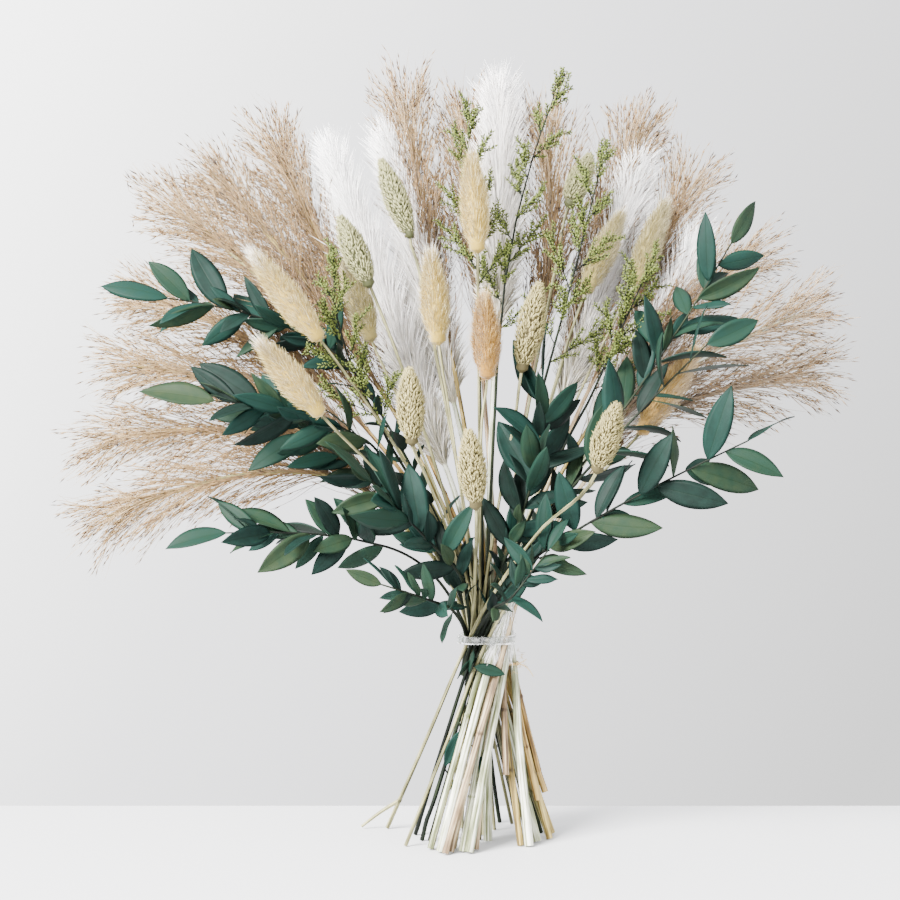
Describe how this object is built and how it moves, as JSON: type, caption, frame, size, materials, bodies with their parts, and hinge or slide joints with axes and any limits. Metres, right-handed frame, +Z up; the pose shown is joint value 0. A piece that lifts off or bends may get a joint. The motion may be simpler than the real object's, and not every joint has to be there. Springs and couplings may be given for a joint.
{
  "type": "bundle of pampas grass",
  "caption": "Hand-tied dried bouquet of reed and pampas plumes, soft grass heads and leafy green stems, standing on its splayed cut ends.",
  "frame": {"origin": "middle of the cut end of the central stem, on the surface that the bouquet stands on", "axes": "+Z up along the central stem, -Y towards the viewer of the bouquet's front, +X to that viewer's right"},
  "size_m": [0.4509, 0.1887, 0.4403],
  "materials": {
    "reed": "dry, matt, fibrous reed plume and straw",
    "white_pampas": "soft, matt, silky hairs on a pale stem",
    "bunny_tail": "soft, matt, downy grass head",
    "canary_grass": "dry, matt, papery scales",
    "sea_lavender": "dry, matt bracts on wiry stems",
    "ruscus_leaf": "preserved leaf, supple, satin",
    "clear_band": "clear, glossy film",
    "raffia": "dry, matt straw string"
  },
  "bodies": {
    "root": {"bunny_tail_1": "bunny_tail", "bunny_tail_2": "bunny_tail", "bunny_tail_3": "bunny_tail", "bunny_tail_4": "bunny_tail", "bunny_tail_5": "bunny_tail", "bunny_tail_6": "bunny_tail", "bunny_tail_7": "bunny_tail", "bunny_tail_8": "bunny_tail", "bunny_tail_9": "bunny_tail", "canary_grass_1": "canary_grass", "canary_grass_2": "canary_grass", "canary_grass_3": "canary_grass", "canary_grass_4": "canary_grass", "canary_grass_5": "canary_grass", "canary_grass_6": "canary_grass", "canary_grass_7": "canary_grass", "clear_band": "clear_band", "raffia_tie": "raffia", "reed_plume_01": "reed", "reed_plume_02": "reed", "reed_plume_03": "reed", "reed_plume_04": "reed", "reed_plume_05": "reed", "reed_plume_06": "reed", "reed_plume_07": "reed", "reed_plume_08": "reed", "reed_plume_09": "reed", "reed_plume_10": "reed", "reed_plume_11": "reed", "reed_plume_12": "reed", "reed_plume_13": "reed", "reed_plume_14": "reed", "reed_plume_15": "reed", "ruscus_01": "ruscus_leaf", "ruscus_02": "ruscus_leaf", "ruscus_03": "ruscus_leaf", "ruscus_04": "ruscus_leaf", "ruscus_05": "ruscus_leaf", "ruscus_06": "ruscus_leaf", "ruscus_07": "ruscus_leaf", "ruscus_08": "ruscus_leaf", "ruscus_09": "ruscus_leaf", "ruscus_10": "ruscus_leaf", "ruscus_11": "ruscus_leaf", "sea_lavender_1": "sea_lavender", "sea_lavender_2": "sea_lavender", "sea_lavender_3": "sea_lavender", "sea_lavender_4": "sea_lavender", "sea_lavender_5": "sea_lavender", "white_pampas_1": "white_pampas", "white_pampas_2": "white_pampas", "white_pampas_3": "white_pampas", "white_pampas_4": "white_pampas", "white_pampas_5": "white_pampas"}
  },
  "joints": []
}
